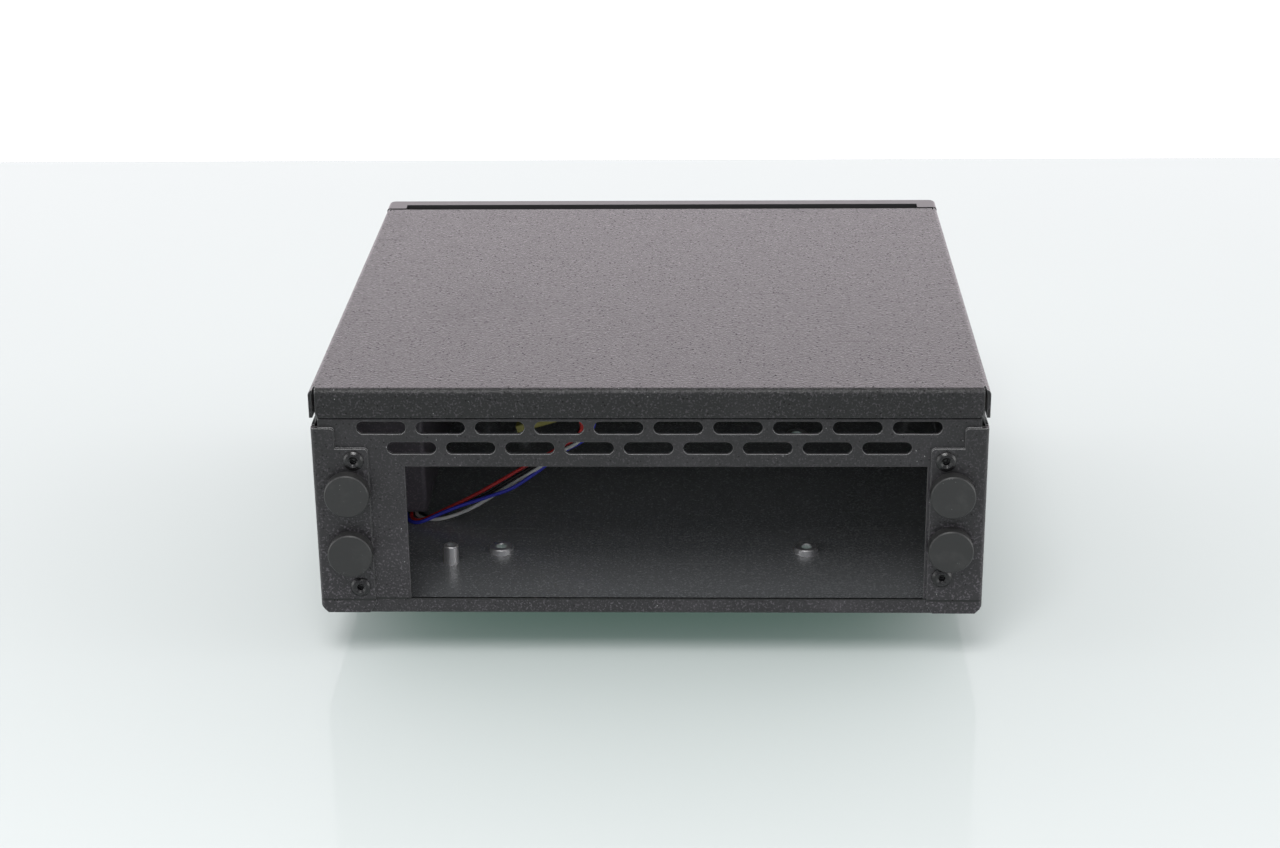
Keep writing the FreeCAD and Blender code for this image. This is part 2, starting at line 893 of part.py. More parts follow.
def make_power_lamp():
    back = -holder_rear - lamp_rim
    profile = [
        (0, back),
        (lamp_rim_radius, back),
        (lamp_rim_radius, -holder_rear),
        (lamp_radius, -holder_rear),
        (lamp_radius, lamp_front - lamp_dome),
        ((lamp_radius + lamp_tip_radius) / 2, lamp_front - lamp_dome / 3),
        (lamp_tip_radius, lamp_front),
        (0, lamp_front),
    ]
    lamp = turned(profile, lamp_place, Y)
    half_pin = FreeCAD.Vector(lamp_pin / 2, 0, lamp_pin / 2)
    for side in (-1, 1):
        root = lamp_place + X * side * lamp_half_pitch + Y * back
        tip = root - Y * lamp_pin_length
        lamp = lamp.fuse(block(tip - half_pin, root + half_pin))
    return one_solid(lamp)


def make_lamp_holder():
    bore = lamp_radius + rivet_fit
    profile = [
        (bore, -holder_rear),
        (holder_radius, -holder_rear),
        (holder_radius, 0),
        (holder_collar_radius, 0),
        (holder_collar_radius, holder_collar),
        (bore, holder_collar),
    ]
    return turned(profile, lamp_place, Y)


def make_light_pipe():
    back = lamp_front + lamp_gap
    seat = bezel_inner_y - front_y
    profile = [
        (0, back),
        (lamp_radius, back),
        (lamp_radius, seat - pipe_flange),
        (pipe_flange_radius, seat - pipe_flange),
        (pipe_flange_radius, seat),
        (lamp_radius, seat),
        (lamp_radius, bezel_face_y - front_y),
        (0, bezel_face_y - front_y),
    ]
    return turned(profile, lamp_place, Y)


def bay(inset, from_rear, above_underside):
    # Place of a lead: inset from the left side wall, and from the rear wall up to the
    # bracket plate, beyond which the run stretches with the bay.
    if from_rear > bracket_y:
        stretch = (tray_depth - bracket_y) / lead_bay_run
        from_rear = bracket_y + (from_rear - bracket_y) * stretch
    return at(inset - half_width, from_rear, above_underside)


# Connectors at the free ends of the leads: middle of the entry face and direction

switch_connector = (bay(69.3, 79.4, 35.0), unit(FreeCAD.Vector(-0.95, 0.05, -0.30)))
lamp_connector = (bay(73.1, 82.3, 38.9), unit(FreeCAD.Vector(-0.97, 0.05, -0.22)))


def make_connector(connector):
    # Two-way crimp housing with its pin sockets and the windows of its latches.
    entry, direction = connector
    half_section = FreeCAD.Vector(connector_width / 2, connector_height / 2, 0)
    body = block(half_section * -1, half_section + Z * connector_length)
    body = body.makeChamfer(connector_edge, [e for e in body.Edges if abs(e.tangentAt(0).z) > 0.9])
    half_socket = FreeCAD.Vector(socket_size / 2, socket_size / 2, 0)
    for side in (-1, 1):
        middle = X * (side * connector_pitch / 2)
        end = middle + Z * connector_length
        socket = block(end - half_socket - Z * socket_depth, end + half_socket)
        window_middle = middle + Y * half_section.y + Z * window_start
        half_window = FreeCAD.Vector(window_width / 2, window_depth, 0)
        window = block(window_middle - half_window, window_middle + half_window + Z * window_length)
        body = without(body, [socket, window])
    across = unit(direction.cross(Z))
    over = across.cross(direction)
    turn = FreeCAD.Rotation(across, over, direction, "ZXY")
    body.Placement = FreeCAD.Placement(entry, turn)
    return body


def lead_end(connector, side):
    # The last run of a lead goes straight into its socket.
    entry, direction = connector
    across = unit(direction.cross(Z))
    into = entry + across * (side * connector_pitch / 2)
    return [into - direction * lead_last_run, into]


def switch_terminal(side):
    back = switch_place - Y * (switch_rear + terminal_length)
    return back + X * side * terminal_half_pitch


def lamp_terminal(side):
    back = lamp_place - Y * (holder_rear + lamp_rim + lamp_pin_length)
    return back + X * side * lamp_half_pitch


def lead_routes():
    # Chosen points: down from the front panel, along the bay floor, under the bracket
    # plate, round in front of it and up to the connectors.
    red = [
        bay(12.3, 168.6, 44.0), bay(11.3, 160.4, 40.2), bay(9.7, 153.6, 32.4),
        bay(8.4, 148.2, 22.0), bay(7.5, 142.4, 11.8), bay(7.2, 134.0, 4.2),
        bay(7.1, 122.0, 1.7),
        bay(7.5, 109.0, 1.7), bay(10.6, 94.2, 1.7), bay(16.6, 83.4, 1.7),
        bay(19.3, 76.4, 1.7), bay(19.6, 69.6, 1.7), bay(23.1, 66.2, 2.1),
        bay(28.3, 67.8, 3.9), bay(33.4, 70.6, 5.6), bay(40.8, 72.0, 8.8),
        bay(48.6, 73.6, 12.9), bay(58.4, 75.6, 18.2), bay(65.3, 76.9, 21.6),
        bay(71.3, 77.7, 24.9), bay(76.1, 77.9, 27.2), bay(78.5, 78.1, 32.4),
    ]
    black = [
        bay(16.7, 168.4, 44.0), bay(15.7, 160.2, 40.0), bay(13.9, 153.0, 31.6),
        bay(12.1, 146.6, 21.0), bay(10.8, 140.6, 10.8), bay(10.3, 132.2, 3.9),
        bay(10.3, 120.5, 1.7),
        bay(10.7, 109.0, 1.7), bay(14.3, 95.4, 1.7), bay(19.9, 84.6, 1.7),
        bay(22.4, 77.4, 1.7), bay(23.0, 72.4, 1.7), bay(26.3, 70.2, 1.8),
        bay(30.7, 71.4, 2.8), bay(37.1, 72.6, 5.2), bay(45.2, 73.6, 8.6),
        bay(54.3, 75.0, 14.2), bay(59.8, 76.3, 17.0), bay(65.3, 77.9, 20.0),
        bay(70.7, 79.4, 23.4), bay(75.9, 80.3, 27.2), bay(78.5, 80.5, 32.4),
    ]
    white = [
        bay(15.77, 172.6, 26.0), bay(14.7, 164.6, 22.6), bay(12.5, 157.0, 15.6),
        bay(10.3, 149.6, 7.8), bay(9.0, 140.0, 2.9), bay(8.7, 127.5, 1.7),
        bay(9.1, 109.6, 1.7),
        bay(12.5, 94.8, 1.7), bay(18.3, 84.0, 1.7), bay(20.8, 77.0, 1.7),
        bay(21.3, 72.0, 1.7), bay(24.5, 69.0, 1.7), bay(29.6, 68.5, 1.7),
        bay(34.0, 69.3, 2.7), bay(40.8, 70.5, 5.7), bay(45.6, 71.4, 8.0),
        bay(54.3, 73.4, 13.5), bay(59.8, 74.6, 16.2), bay(65.9, 75.9, 19.0),
        bay(73.0, 77.4, 22.6), bay(78.9, 79.0, 25.9), bay(82.1, 81.0, 31.0),
        bay(82.2, 82.6, 36.2),
    ]
    blue = [
        bay(13.23, 172.4, 26.0), bay(11.9, 164.2, 22.4), bay(9.3, 156.8, 15.2),
        bay(6.9, 149.6, 7.4), bay(5.7, 140.2, 2.7), bay(5.5, 127.5, 1.7),
        bay(5.9, 109.0, 1.7),
        bay(8.9, 93.8, 1.7), bay(14.9, 82.8, 1.7), bay(17.7, 75.6, 1.7),
        bay(18.5, 68.0, 1.7), bay(22.7, 64.4, 1.9), bay(29.5, 66.2, 4.6),
        bay(36.5, 67.9, 7.0), bay(45.4, 69.4, 9.8), bay(54.4, 71.3, 13.9),
        bay(59.9, 72.8, 16.3), bay(66.1, 74.2, 19.1), bay(72.5, 75.6, 22.3),
        bay(78.9, 76.8, 26.2), bay(82.1, 78.4, 31.2), bay(82.2, 80.0, 36.2),
    ]
    return {
        "lead_red": [switch_terminal(-1)] + red + lead_end(switch_connector, -1),
        "lead_black": [switch_terminal(1)] + black + lead_end(switch_connector, 1),
        "lead_white": [lamp_terminal(1)] + white + lead_end(lamp_connector, 1),
        "lead_blue": [lamp_terminal(-1)] + blue + lead_end(lamp_connector, -1),
    }


def make_lead(name, points):
    radii = []
    for before, corner, after in zip(points, points[1:], points[2:]):
        shorter = min((corner - before).Length, (after - corner).Length)
        turn = (corner - before).getAngle(after - corner)
        radii.append(0.45 * shorter / math.tan(turn / 2))
    path = Part.Wire(rounded_path(points, radii))
    start = Part.Circle(points[0], points[1] - points[0], lead_radius).toShape()
    tube = path.makePipeShell([Part.Wire(start)], True, False)
    expected = math.pi * lead_radius ** 2 * path.Length
    print(name, "length", round(path.Length, 1), "radii", [round(r, 1) for r in radii])
    print(name, "volume against section x length", round(tube.Volume / expected, 4))
    return tube


def write(name, shape):
    shape.exportStep("parts/" + name + ".step")
    print(name, "solids", len(shape.Solids), "valid", shape.isValid(), "volume", round(shape.Volume, 1))


write("base_tray", make_base_tray())
write("top_cover", make_top_cover())
write("front_bezel", make_front_bezel())
for name, place in tab_rivet_places().items():
    write("tab_rivet_" + name, make_rivet(place, Y * -1))
for name, place in plug_places().items():
    write("hole_plug_" + name, make_hole_plug(place))
for name, place in standoff_places().items():
    write("board_standoff_" + name, make_standoff(place))
for name, place in mount_places.items():
    write("mount_nut_" + name, make_mount_nut(place))
for name, place in foot_places.items():
    write("foot_" + name, make_foot(place))
    write("foot_screw_" + name, make_foot_screw(place))
for name, (place, outwards) in cover_screw_places().items():
    write("cover_screw_" + name, make_cover_screw(place, outwards))
write("drive_bracket", make_drive_bracket())
bracket_rivets = [make_rivet(place, Z * -1) for place in bracket_rivet_places()]
write("bracket_rivets", Part.makeCompound(bracket_rivets))
write("power_switch", make_power_switch())
write("switch_nut", make_switch_nut())
write("power_button", make_power_button())
write("switch_plunger", make_switch_plunger())
write("power_lamp", make_power_lamp())
write("lamp_holder", make_lamp_holder())
write("light_pipe", make_light_pipe())
write("switch_connector", make_connector(switch_connector))
write("lamp_connector", make_connector(lamp_connector))
for name, points in lead_routes().items():
    write(name, make_lead(name, points))
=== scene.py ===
import bpy
import json
import math
from mathutils import Matrix, Vector


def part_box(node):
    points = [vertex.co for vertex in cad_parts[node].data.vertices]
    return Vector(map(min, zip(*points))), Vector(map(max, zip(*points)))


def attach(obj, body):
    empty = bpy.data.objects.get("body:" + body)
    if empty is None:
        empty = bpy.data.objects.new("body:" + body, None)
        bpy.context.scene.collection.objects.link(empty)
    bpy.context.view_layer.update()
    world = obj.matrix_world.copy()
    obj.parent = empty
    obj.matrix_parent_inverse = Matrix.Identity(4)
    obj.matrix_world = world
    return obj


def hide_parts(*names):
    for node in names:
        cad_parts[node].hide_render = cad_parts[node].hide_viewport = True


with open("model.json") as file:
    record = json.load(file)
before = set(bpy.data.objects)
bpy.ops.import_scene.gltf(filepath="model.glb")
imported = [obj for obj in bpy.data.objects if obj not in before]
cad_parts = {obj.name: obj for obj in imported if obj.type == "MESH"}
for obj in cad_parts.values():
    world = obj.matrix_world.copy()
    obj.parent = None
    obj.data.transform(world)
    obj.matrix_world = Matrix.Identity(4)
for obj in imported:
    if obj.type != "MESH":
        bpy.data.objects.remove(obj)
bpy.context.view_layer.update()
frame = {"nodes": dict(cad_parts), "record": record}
nodes = frame["nodes"]
print("frame loaded,", len(nodes), "nodes")

sheet = 0.001  # thickness of the folded steel
trayLow = Vector(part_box("base_tray")[0])
coverHigh = Vector(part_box("top_cover")[1])
rearFace = trayLow.y + sheet
underside = trayLow.z


def at(x, fromRear, aboveUnderside):  # millimetres from the rear panel and the underside
    return Vector((x / 1000, rearFace + fromRear / 1000, underside + aboveUnderside / 1000))


# camera, before the rear panel and looking a little down on it
cameraSettings = {
    "place": (19.8, -673.9, 331.4),
    "yaw": -0.0331,
    "pitch": 0.378,
    "roll": -0.0122,
    "lens": 67.7,
    "sensor": 36,
    "nearest": 0.01,
}


def makeCamera(s):
    yaw, pitch, roll = s["yaw"], s["pitch"], s["roll"]
    forward = Vector((
        math.sin(yaw) * math.cos(pitch),
        math.cos(yaw) * math.cos(pitch),
        -math.sin(pitch),
    ))
    level = Vector((math.cos(yaw), -math.sin(yaw), 0))
    upright = level.cross(forward)
    right = level * math.cos(roll) + upright * math.sin(roll)
    up = upright * math.cos(roll) - level * math.sin(roll)
    data = bpy.data.cameras.new("camera")
    data.lens = s["lens"]
    data.sensor_width = s["sensor"]
    data.clip_start = s["nearest"]
    camera = bpy.data.objects.new("camera", data)
    bpy.context.collection.objects.link(camera)
    turn = Matrix((right, up, -forward)).transposed().to_4x4()
    camera.matrix_world = Matrix.Translation(at(*s["place"])) @ turn
    bpy.context.scene.camera = camera


makeCamera(cameraSettings)
print("camera placed")


class Field:
    # a number that varies over a surface; arithmetic on it adds Math nodes
    def __init__(self, tree, socket):
        self.tree = tree
        self.socket = socket

    def mathNode(self, operation, first, second):
        made = self.tree.node("ShaderNodeMath", {"operation": operation}, {0: first, 1: second})
        return Field(self.tree, made.outputs[0])

    def __add__(self, other):
        return self.mathNode("ADD", self, other)

    def __radd__(self, other):
        return self.mathNode("ADD", other, self)

    def __sub__(self, other):
        return self.mathNode("SUBTRACT", self, other)

    def __rsub__(self, other):
        return self.mathNode("SUBTRACT", other, self)

    def __mul__(self, other):
        return self.mathNode("MULTIPLY", self, other)

    def __rmul__(self, other):
        return self.mathNode("MULTIPLY", other, self)

    def band(self, low, high):  # 0 at low, 1 at high, smooth between
        made = self.tree.node(
            "ShaderNodeMapRange",
            {"interpolation_type": "SMOOTHSTEP"},
            {"Value": self, "From Min": low, "From Max": high},
        )
        return Field(self.tree, made.outputs["Result"])


class NodeTree:
    def __init__(self, tree):
        self.tree = tree
        self.tree.nodes.clear()

    def node(self, kind, settings, inputs):
        made = self.tree.nodes.new(kind)
        for name, value in settings.items():
            setattr(made, name, value)
        for key, value in inputs.items():
            if isinstance(value, Field):
                value = value.socket
            if isinstance(value, bpy.types.NodeSocket):
                self.tree.links.new(value, made.inputs[key])
            else:
                made.inputs[key].default_value = value
        return made

    def mix(self, factor, first, second):
        made = self.node("ShaderNodeMix", {"data_type": "RGBA"}, {0: factor, 6: first, 7: second})
        return made.outputs[2]

    def split(self, vector):  # its three numbers
        made = self.node("ShaderNodeSeparateXYZ", {}, {"Vector": vector})
        return [Field(self, socket) for socket in made.outputs]


edgeSettings = {"samples": 6, "likeness": (0.80, 0.985), "upward": (0.0, 0.5)}


class Finish(NodeTree):
    fed = {"colour": "Base Color", "roughness": "Roughness", "normal": "Normal"}

    def __init__(self, name, **uniform):
        self.material = bpy.data.materials.new(name)
        self.material.use_nodes = True
        super().__init__(self.material.node_tree)
        self.shader = self.node("ShaderNodeBsdfPrincipled", {}, uniform)
        out = self.node("ShaderNodeOutputMaterial", {}, {"Surface": self.shader.outputs["BSDF"]})
        out.is_active_output = True
        self.place = self.node("ShaderNodeTexCoord", {}, {}).outputs["Object"]

    def noise(self, scale, detail=2.0, roughness=0.5, stretch=None):
        place = self.place
        if stretch:
            place = self.node(
                "ShaderNodeVectorMath", {"operation": "MULTIPLY"}, {0: place, 1: stretch}
            ).outputs[0]
        made = self.node(
            "ShaderNodeTexNoise", {},
            {"Vector": place, "Scale": scale, "Detail": detail, "Roughness": roughness},
        )
        return Field(self, made.outputs["Fac"])

    def spots(self, scale, core, size):  # round dots, 1 inside their core, gone past their size
        made = self.node("ShaderNodeTexVoronoi", {}, {"Vector": self.place, "Scale": scale})
        return 1 - Field(self, made.outputs["Distance"]).band(core, size)

    def roundedEdges(self, radius):  # normals as if each edge were rounded, and where that is
        s = edgeSettings
        rounded = self.node(
            "ShaderNodeBevel", {"samples": s["samples"]}, {"Radius": radius}
        ).outputs["Normal"]
        flat = self.node("ShaderNodeNewGeometry", {}, {}).outputs["Normal"]
        likeness = self.node(
            "ShaderNodeVectorMath", {"operation": "DOT_PRODUCT"}, {0: rounded, 1: flat}
        ).outputs["Value"]
        edge = 1 - Field(self, likeness).band(*s["likeness"])
        lit = self.split(rounded)[2].band(*s["upward"])  # edges that look up catch more light
        return rounded, edge, lit

    def bump(self, height, strength, distance, under=None):
        inputs = {"Height": height, "Strength": strength, "Distance": distance}
        if under:
            inputs["Normal"] = under
        return self.node("ShaderNodeBump", {}, inputs).outputs["Normal"]

    def feed(self, **sockets):
        for name, value in sockets.items():
            if isinstance(value, Field):
                value = value.socket
            self.tree.links.new(value, self.shader.inputs[self.fed[name]])


def grey(level, warmth=0.0):
    return (level * (1 + warmth), level, level * (1 - warmth), 1)


def violet(level):  # the black of the paint leans a little this way
    return (level * 1.06, level * 0.95, level * 1.08, 1)


# powder coat: a fine pebbled skin, with specks of dust, faint hand marks and painted highlights along its
# edges
powderSettings = {
    "grainScale": 1100, "grainDepth": 0.00030, "grainStrength": 0.7,
    "fineScale": 2000, "fineDepth": 0.00010, "fineStrength": 0.5,
    # colour, from the skin's hollows to its peaks, with painted shade that darkens it towards the top
    "peakScale": 1500, "peakBand": (0.53, 0.65), "base": 0.018, "lift": 0.046,
    "paintedTopShade": 0.72, "paintedTopShadeLevel": 0.3,
    # sheen
    "roughLow": 0.26, "roughHigh": 0.38,
    "mottleScale": 1500, "mottleBand": (0.34, 0.66), "mottleRough": 0.16,
    "pitScale": 520, "pitSize": 0.20, "pitCore": 0.6, "pitRough": 0.5,
    # hand marks, scratches and dust
    "markScale": 22, "markStretch": (1.0, 0.7, 1.0), "markBand": (0.52, 0.72),
    "markCover": 0.16, "markLift": 1.8, "markRough": 0.05,
    "scratchScale": 40, "scratchStretch": (0.5, 16.0, 4.0), "scratchBand": (0.68, 0.72),
    "scratchRough": 0.14,
    "dustScale": 420, "dustSize": 0.075, "dustCore": 0.5, "dustLevel": 0.45,
    "sparseScale": 96.6, "sparseBand": (0.50, 0.60), "dustCover": 0.85, "dustRough": 0.2,
    # rounded edges, and painted highlights along them
    "edgeRadius": 0.0003, "paintedHighlightLevel": 0.50, "paintedHighlightCover": 0.20, "edgeLit": 0.90,
    # painted light: the sheet's inner side and the floor take lighter copies of the paint, standing in
    # for light inside the case; the floor is brighter towards the front
    "paintedLightInsideLow": 0.16, "paintedLightInsideHigh": 0.26, "paintedLightInsideWarmth": 0.01,
    "paintedLightNearLow": 0.09, "paintedLightNearHigh": 0.14, "paintedLightNearWarmth": -0.04,
    "paintedLightDeepLow": 0.36, "paintedLightDeepHigh": 0.52, "paintedLightDeepWarmth": -0.02, "paintedLightDeepBand": (0.01, 0.11),
    "floorSmooth": 0.20, "floorCalm": 0.6, "sillDark": 0.003,
}


def powderCoat(name, change=None, inside=None, floor=None, sill=None):
    s = dict(powderSettings, **(change or {}))
    finish = Finish(name, **{"Specular IOR Level": 0.5})
    x, y, z = finish.split(finish.place)
    rounded, edge, lit = finish.roundedEdges(s["edgeRadius"])
    grain = finish.noise(s["grainScale"], detail=3.0, roughness=0.6)
    fine = finish.noise(s["fineScale"])
    mottle = finish.noise(s["mottleScale"], roughness=0.6).band(*s["mottleBand"])
    marks = finish.noise(s["markScale"], detail=4.0, roughness=0.6, stretch=s["markStretch"])
    smudge = marks.band(*s["markBand"])
    scratches = finish.noise(s["scratchScale"], detail=3.0, roughness=0.6, stretch=s["scratchStretch"])
    scratches = scratches.band(*s["scratchBand"])
    specks = finish.spots(s["dustScale"], s["dustSize"] * s["dustCore"], s["dustSize"])
    dust = specks * finish.noise(s["sparseScale"], detail=1.0).band(*s["sparseBand"])
    pits = finish.spots(s["pitScale"], s["pitSize"] * s["pitCore"], s["pitSize"])
    peaks = finish.noise(s["peakScale"], detail=3.0, roughness=0.6).band(*s["peakBand"])

    colour = finish.mix(peaks, violet(s["base"]), violet(s["lift"]))
    colour = finish.mix(smudge * s["markCover"], colour, violet(s["lift"] * s["markLift"]))
    # painted shade: the paint grows darker towards the top, as the light bouncing up from the table falls
    # off
    paintedShadeRise = z.band(trayLow.z, coverHigh.z)
    colour = finish.mix(paintedShadeRise * s["paintedTopShade"], colour, grey(s["base"] * s["paintedTopShadeLevel"]))
    if inside:
        # painted light: a lighter copy of the paint on the inner side, standing in for light inside the
        # case
        paintedLightLining = finish.mix(peaks, grey(s["paintedLightInsideLow"]), grey(s["paintedLightInsideHigh"], s["paintedLightInsideWarmth"]))
        colour = finish.mix(inside(x, y, z), colour, paintedLightLining)
    smooth = 0
    if floor:
        lying = floor(x, y, z)
        # painted light: the floor takes a lighter copy of the paint, lighter still further from the rear
        # panel, standing in for light that reaches it
        near = finish.mix(
            peaks, grey(s["paintedLightNearLow"], s["paintedLightNearWarmth"]), grey(s["paintedLightNearHigh"], s["paintedLightNearWarmth"])
        )
        deep = finish.mix(
            peaks, grey(s["paintedLightDeepLow"], s["paintedLightDeepWarmth"]), grey(s["paintedLightDeepHigh"], s["paintedLightDeepWarmth"])
        )
        depth = y.band(*(rearFace + reach for reach in s["paintedLightDeepBand"]))
        colour = finish.mix(lying, colour, finish.mix(depth, near, deep))
        smooth = lying * s["floorSmooth"]
        grain = grain * (1 - lying * s["floorCalm"])
    # painted highlight along the rounded edges, stronger where an edge faces up
    paintedEdgeHighlight = edge * (lit * (s["edgeLit"] - s["paintedHighlightCover"]) + s["paintedHighlightCover"])
    colour = finish.mix(paintedEdgeHighlight, colour, grey(s["paintedHighlightLevel"]))
    colour = finish.mix(dust * s["dustCover"], colour, grey(s["dustLevel"]))
    if sill:
        colour = finish.mix(sill(x, y, z), colour, grey(s["sillDark"]))

    roughness = fine * (s["roughHigh"] - s["roughLow"]) + s["roughLow"]
    roughness = roughness + mottle * s["mottleRough"] + pits * s["pitRough"]
    roughness = roughness + smudge * s["markRough"] + dust * s["dustRough"]
    roughness = roughness + scratches * s["scratchRough"] - smooth
    normal = finish.bump(fine, s["fineStrength"], s["fineDepth"], rounded)
    normal = finish.bump(grain, s["grainStrength"], s["grainDepth"], normal)
    finish.feed(colour=colour, roughness=roughness, normal=normal)
    return finish.material


rubberSettings = {
    "level": 0.021, "roughLow": 0.42, "scuffs": 0.5, "specular": 0.45,
    "skinScale": 2600, "skinRough": 0.1, "skinStrength": 0.25, "skinDepth": 0.00002,
    "wearScale": 160, "wearBand": (0.50, 0.72), "wearCover": 0.5, "wearLift": 3.2,
    "wearWarmth": 0.02, "wearRough": 0.14,
    "dustScale": 900, "dustCore": 0.05, "dustSize": 0.11, "dustCover": 0.6, "dustLevel": 0.32,
    "sparseScale": 240, "sparseBand": (0.5, 0.6),
}


def rubber(name, change=None):
    s = dict(rubberSettings, **(change or {}))
    finish = Finish(name, **{"Specular IOR Level": s["specular"]})
    skin = finish.noise(s["skinScale"])
    wear = finish.noise(s["wearScale"], detail=5.0, roughness=0.65).band(*s["wearBand"])
    specks = finish.spots(s["dustScale"], s["dustCore"], s["dustSize"])
    dust = specks * finish.noise(s["sparseScale"], detail=1.0).band(*s["sparseBand"])
    pale = grey(s["level"] * s["wearLift"], s["wearWarmth"])
    colour = finish.mix(wear * s["scuffs"] * s["wearCover"], grey(s["level"]), pale)
    colour = finish.mix(dust * s["dustCover"], colour, grey(s["dustLevel"]))
    roughness = skin * s["skinRough"] + s["roughLow"] + wear * s["wearRough"]
    normal = finish.bump(skin, s["skinStrength"], s["skinDepth"])
    finish.feed(colour=colour, roughness=roughness, normal=normal)
    return finish.material


plasticSettings = {
    "specular": 0.5, "skinRough": 0.12, "skinStrength": 0.3,
    "patchScale": 60, "patchBand": (0.3, 0.7), "patchDark": 0.12,
}


def plastic(name, colour, roughLow, skinScale=1800, skinDepth=0.00002):
    s = plasticSettings
    finish = Finish(name, **{"Specular IOR Level": s["specular"]})
    skin = finish.noise(skinScale)
    patches = finish.noise(s["patchScale"], detail=3.0).band(*s["patchBand"])
    dark = tuple(c * (1 - s["patchDark"]) for c in colour)
    shade = finish.mix(patches, (*dark, 1), (*colour, 1))
    roughness = skin * s["skinRough"] + roughLow
    finish.feed(colour=shade, roughness=roughness, normal=finish.bump(skin, s["skinStrength"], skinDepth))
    return finish.material


metalSettings = {
    "turnScale": 900, "turnStretch": (1.0, 1.0, 8.0), "turnRough": 0.16,
    "turnStrength": 0.2, "turnDepth": 0.00001,
    "stainScale": 260, "stainBand": (0.45, 0.75), "stainDull": 0.62, "stainRough": 0.12,
}


def metal(name, colour, roughLow, tarnish=0.35):
    s = metalSettings
    finish = Finish(name, **{"Metallic": 1.0})
    turning = finish.noise(s["turnScale"], stretch=s["turnStretch"])
    stain = finish.noise(s["stainScale"], detail=3.0).band(*s["stainBand"])
    dull = tuple(c * s["stainDull"] for c in colour)
    shade = finish.mix(stain * tarnish, (*colour, 1), (*dull, 1))
    roughness = turning * s["turnRough"] + roughLow + stain * s["stainRough"]
    normal = finish.bump(turning, s["turnStrength"], s["turnDepth"])
    finish.feed(colour=shade, roughness=roughness, normal=normal)
    return finish.material


clearSettings = {
    "roughness": 0.08, "transmission": 0.85, "refraction": 1.49, "hazeScale": 700, "hazeLevel": 0.86,
}


def clearMoulding(name, tint):
    s = clearSettings
    finish = Finish(name, **{
        "Roughness": s["roughness"], "Transmission Weight": s["transmission"], "IOR": s["refraction"],
    })
    pale = tuple(c * s["hazeLevel"] for c in tint)
    finish.feed(colour=finish.mix(finish.noise(s["hazeScale"]), (*tint, 1), (*pale, 1)))
    return finish.material


# parts of the sheet with a finish of their own, each between distances from a face
zoneSettings = {
    "skin": 0.0006,
    "floorBelow": (-0.0003, -0.0001), "floorAbove": (0.0003, 0.0006), "floorFrom": (0.0010, 0.0020),
    "sillHeight": 5.3,  # millimetres, as at() takes them
    "sillBelow": (-0.0004, -0.0003), "sillAbove": (0.0003, 0.0004),
    "sillDepth": (0.0010, 0.0012),
}
floorTop = trayLow.z + sheet


def rising(value, face, band):  # 0 before the face, 1 past it
    return value.band(face + band[0], face + band[1])


def withinWalls(x, y):
    skin = zoneSettings["skin"]
    across = 1 - (x * x).band((coverHigh.x - sheet - skin) ** 2, (coverHigh.x - skin) ** 2)
    return across * y.band(rearFace + skin, rearFace + sheet)


def trayInside(x, y, z):
    return withinWalls(x, y) * z.band(trayLow.z + sheet / 2, floorTop)


def coverInside(x, y, z):
    return withinWalls(x, y) * (1 - z.band(coverHigh.z - sheet, coverHigh.z - sheet / 2))


def insideFloor(x, y, z):
    s = zoneSettings
    level = rising(z, floorTop, s["floorBelow"]) * (1 - rising(z, floorTop, s["floorAbove"]))
    return level * rising(y, rearFace, s["floorFrom"])


def apertureSill(x, y, z):  # cut edge under the connectors
    s = zoneSettings
    height = at(0, 0, s["sillHeight"]).z
    thin = rising(z, height, s["sillBelow"]) * (1 - rising(z, height, s["sillAbove"]))
    return thin * (1 - rising(y, rearFace, s["sillDepth"]))


